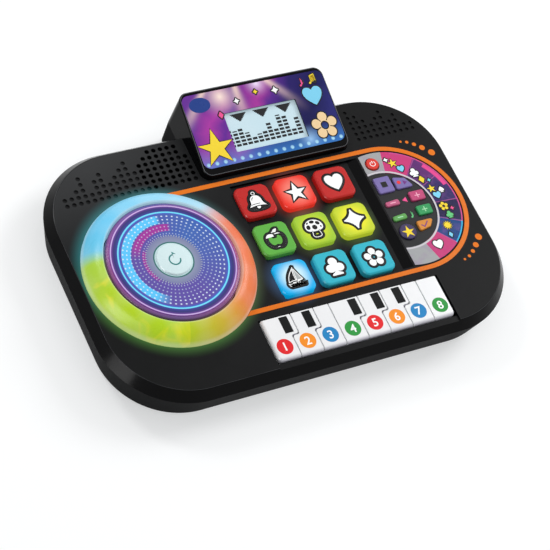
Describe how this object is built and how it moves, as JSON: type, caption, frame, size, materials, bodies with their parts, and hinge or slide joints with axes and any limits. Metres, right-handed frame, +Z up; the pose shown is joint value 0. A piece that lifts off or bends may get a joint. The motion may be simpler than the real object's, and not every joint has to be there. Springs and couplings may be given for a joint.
{
  "type": "toy dj mixer",
  "caption": "Toy DJ mixer with a spinning scratch disc in a light ring, square pads, a small keyboard, a half-round button panel and a tilted screen pod.",
  "frame": {"origin": "middle of the whole part's footprint, on the plane that its feet stand on", "axes": "+X to the right for the person who plays it, +Y away from them towards the screen pod, +Z up; metres"},
  "size_m": [0.2772, 0.194, 0.0462],
  "materials": {
    "deck_plastic": "fine matte, dark grey",
    "base_plastic": "matte, dark grey",
    "black_gloss": "gloss black",
    "ring_plastic": "translucent, lit from below",
    "platter_plastic": "satin black",
    "printed_sheet": "printed film",
    "cap_plastic": "satin, pearly",
    "pad_red": "translucent, satin",
    "pad_green": "translucent, satin",
    "pad_blue": "translucent, satin",
    "key_plastic": "gloss, pale lavender",
    "panel_plastic": "matte black",
    "button_plastic": "satin",
    "stripe_plastic": "gloss orange",
    "screen_glass": "pale blue screen film",
    "circuit_board": "green lacquer",
    "dome_rubber": "matte",
    "foot_rubber": "matte",
    "steel": "plated",
    "magnet": "dull",
    "cone_paper": "matte paper",
    "cell_wrap": "satin wrap"
  },
  "bodies": {
    "housing": {"bottom_shell": "base_plastic", "top_shell": "deck_plastic", "light_ring": "ring_plastic", "light_board": "circuit_board", "turntable_base": "black_gloss", "pad_mat": "dome_rubber", "main_board": "circuit_board", "key_shaft": "steel", "key_mat": "dome_rubber", "key_board": "circuit_board", "control_panel": "panel_plastic", "activity_strip": "printed_sheet", "button_mat": "dome_rubber", "trim_stripe": "stripe_plastic", "pod_housing": "black_gloss", "pod_label": "printed_sheet", "lcd_panel": "screen_glass", "lcd_board": "circuit_board", "speaker_frame": "steel", "speaker_cone": "cone_paper", "speaker_magnet": "magnet", "battery_1": "cell_wrap", "battery_2": "cell_wrap", "battery_3": "cell_wrap", "battery_contacts": "steel", "battery_door": "base_plastic", "battery_screw": "steel", "case_screws": "steel", "feet": "foot_rubber"},
    "platter_turn": {"platter": "platter_plastic", "platter_label": "printed_sheet", "platter_cap": "cap_plastic"},
    "pad_1_body": {"pad_1": "pad_red"},
    "pad_2_body": {"pad_2": "pad_red"},
    "pad_3_body": {"pad_3": "pad_red"},
    "pad_4_body": {"pad_4": "pad_green"},
    "pad_5_body": {"pad_5": "pad_green"},
    "pad_6_body": {"pad_6": "pad_green"},
    "pad_7_body": {"pad_7": "pad_blue"},
    "pad_8_body": {"pad_8": "pad_blue"},
    "pad_9_body": {"pad_9": "pad_blue"},
    "key_1_body": {"key_1": "key_plastic"},
    "key_2_body": {"key_2": "key_plastic"},
    "key_3_body": {"key_3": "key_plastic"},
    "key_4_body": {"key_4": "key_plastic"},
    "key_5_body": {"key_5": "key_plastic"},
    "key_6_body": {"key_6": "key_plastic"},
    "key_7_body": {"key_7": "key_plastic"},
    "key_8_body": {"key_8": "key_plastic"},
    "button_power_body": {"button_power": "button_plastic"},
    "button_stop_body": {"button_stop": "button_plastic"},
    "button_record_body": {"button_record": "button_plastic"},
    "button_volume_down_body": {"button_volume_down": "button_plastic"},
    "button_volume_up_body": {"button_volume_up": "button_plastic"},
    "button_tempo_down_body": {"button_tempo_down": "button_plastic"},
    "button_tempo_up_body": {"button_tempo_up": "button_plastic"},
    "button_ok_body": {"button_ok": "button_plastic"},
    "button_style_body": {"button_style": "button_plastic"}
  },
  "joints": [
    {"name": "platter_spin", "type": "hinge", "parent": "housing", "child": "platter_turn", "pos_m": [-0.0782, -0.0116, 0.03], "axis": [0, 0, 1], "continuous": true},
    {"name": "pad_1_press", "type": "slide", "parent": "housing", "child": "pad_1_body", "axis": [0, 0, -1], "range_m": [0, 0.0015], "stiffness_N_per_m": 350, "springref_m": -0.001},
    {"name": "pad_2_press", "type": "slide", "parent": "housing", "child": "pad_2_body", "axis": [0, 0, -1], "range_m": [0, 0.0015], "stiffness_N_per_m": 350, "springref_m": -0.001},
    {"name": "pad_3_press", "type": "slide", "parent": "housing", "child": "pad_3_body", "axis": [0, 0, -1], "range_m": [0, 0.0015], "stiffness_N_per_m": 350, "springref_m": -0.001},
    {"name": "pad_4_press", "type": "slide", "parent": "housing", "child": "pad_4_body", "axis": [0, 0, -1], "range_m": [0, 0.0015], "stiffness_N_per_m": 350, "springref_m": -0.001},
    {"name": "pad_5_press", "type": "slide", "parent": "housing", "child": "pad_5_body", "axis": [0, 0, -1], "range_m": [0, 0.0015], "stiffness_N_per_m": 350, "springref_m": -0.001},
    {"name": "pad_6_press", "type": "slide", "parent": "housing", "child": "pad_6_body", "axis": [0, 0, -1], "range_m": [0, 0.0015], "stiffness_N_per_m": 350, "springref_m": -0.001},
    {"name": "pad_7_press", "type": "slide", "parent": "housing", "child": "pad_7_body", "axis": [0, 0, -1], "range_m": [0, 0.0015], "stiffness_N_per_m": 350, "springref_m": -0.001},
    {"name": "pad_8_press", "type": "slide", "parent": "housing", "child": "pad_8_body", "axis": [0, 0, -1], "range_m": [0, 0.0015], "stiffness_N_per_m": 350, "springref_m": -0.001},
    {"name": "pad_9_press", "type": "slide", "parent": "housing", "child": "pad_9_body", "axis": [0, 0, -1], "range_m": [0, 0.0015], "stiffness_N_per_m": 350, "springref_m": -0.001},
    {"name": "button_power_press", "type": "slide", "parent": "housing", "child": "button_power_body", "axis": [0, 0, -1], "range_m": [0, 0.0008], "stiffness_N_per_m": 700, "springref_m": -0.0006},
    {"name": "button_stop_press", "type": "slide", "parent": "housing", "child": "button_stop_body", "axis": [0, 0, -1], "range_m": [0, 0.0008], "stiffness_N_per_m": 700, "springref_m": -0.0006},
    {"name": "button_record_press", "type": "slide", "parent": "housing", "child": "button_record_body", "axis": [0, 0, -1], "range_m": [0, 0.0008], "stiffness_N_per_m": 700, "springref_m": -0.0006},
    {"name": "button_volume_down_press", "type": "slide", "parent": "housing", "child": "button_volume_down_body", "axis": [0, 0, -1], "range_m": [0, 0.0008], "stiffness_N_per_m": 700, "springref_m": -0.0006},
    {"name": "button_volume_up_press", "type": "slide", "parent": "housing", "child": "button_volume_up_body", "axis": [0, 0, -1], "range_m": [0, 0.0008], "stiffness_N_per_m": 700, "springref_m": -0.0006},
    {"name": "button_tempo_down_press", "type": "slide", "parent": "housing", "child": "button_tempo_down_body", "axis": [0, 0, -1], "range_m": [0, 0.0008], "stiffness_N_per_m": 700, "springref_m": -0.0006},
    {"name": "button_tempo_up_press", "type": "slide", "parent": "housing", "child": "button_tempo_up_body", "axis": [0, 0, -1], "range_m": [0, 0.0008], "stiffness_N_per_m": 700, "springref_m": -0.0006},
    {"name": "button_ok_press", "type": "slide", "parent": "housing", "child": "button_ok_body", "axis": [0, 0, -1], "range_m": [0, 0.0008], "stiffness_N_per_m": 700, "springref_m": -0.0006},
    {"name": "button_style_press", "type": "slide", "parent": "housing", "child": "button_style_body", "axis": [0, 0, -1], "range_m": [0, 0.0008], "stiffness_N_per_m": 700, "springref_m": -0.0006},
    {"name": "key_1_press", "type": "hinge", "parent": "housing", "child": "key_1_body", "pos_m": [-0.03245, -0.0559, 0.0225], "axis": [1, 0, 0], "range_deg": [0, 3.5], "stiffness_Nm_per_rad": 0.35, "springref_deg": -3.44},
    {"name": "key_2_press", "type": "hinge", "parent": "housing", "child": "key_2_body", "pos_m": [-0.01695, -0.0559, 0.0225], "axis": [1, 0, 0], "range_deg": [0, 3.5], "stiffness_Nm_per_rad": 0.35, "springref_deg": -3.44},
    {"name": "key_3_press", "type": "hinge", "parent": "housing", "child": "key_3_body", "pos_m": [-0.00145, -0.0559, 0.0225], "axis": [1, 0, 0], "range_deg": [0, 3.5], "stiffness_Nm_per_rad": 0.35, "springref_deg": -3.44},
    {"name": "key_4_press", "type": "hinge", "parent": "housing", "child": "key_4_body", "pos_m": [0.01405, -0.0559, 0.0225], "axis": [1, 0, 0], "range_deg": [0, 3.5], "stiffness_Nm_per_rad": 0.35, "springref_deg": -3.44},
    {"name": "key_5_press", "type": "hinge", "parent": "housing", "child": "key_5_body", "pos_m": [0.02955, -0.0559, 0.0225], "axis": [1, 0, 0], "range_deg": [0, 3.5], "stiffness_Nm_per_rad": 0.35, "springref_deg": -3.44},
    {"name": "key_6_press", "type": "hinge", "parent": "housing", "child": "key_6_body", "pos_m": [0.04505, -0.0559, 0.0225], "axis": [1, 0, 0], "range_deg": [0, 3.5], "stiffness_Nm_per_rad": 0.35, "springref_deg": -3.44},
    {"name": "key_7_press", "type": "hinge", "parent": "housing", "child": "key_7_body", "pos_m": [0.06055, -0.0559, 0.0225], "axis": [1, 0, 0], "range_deg": [0, 3.5], "stiffness_Nm_per_rad": 0.35, "springref_deg": -3.44},
    {"name": "key_8_press", "type": "hinge", "parent": "housing", "child": "key_8_body", "pos_m": [0.07605, -0.0559, 0.0225], "axis": [1, 0, 0], "range_deg": [0, 3.5], "stiffness_Nm_per_rad": 0.35, "springref_deg": -3.44}
  ]
}
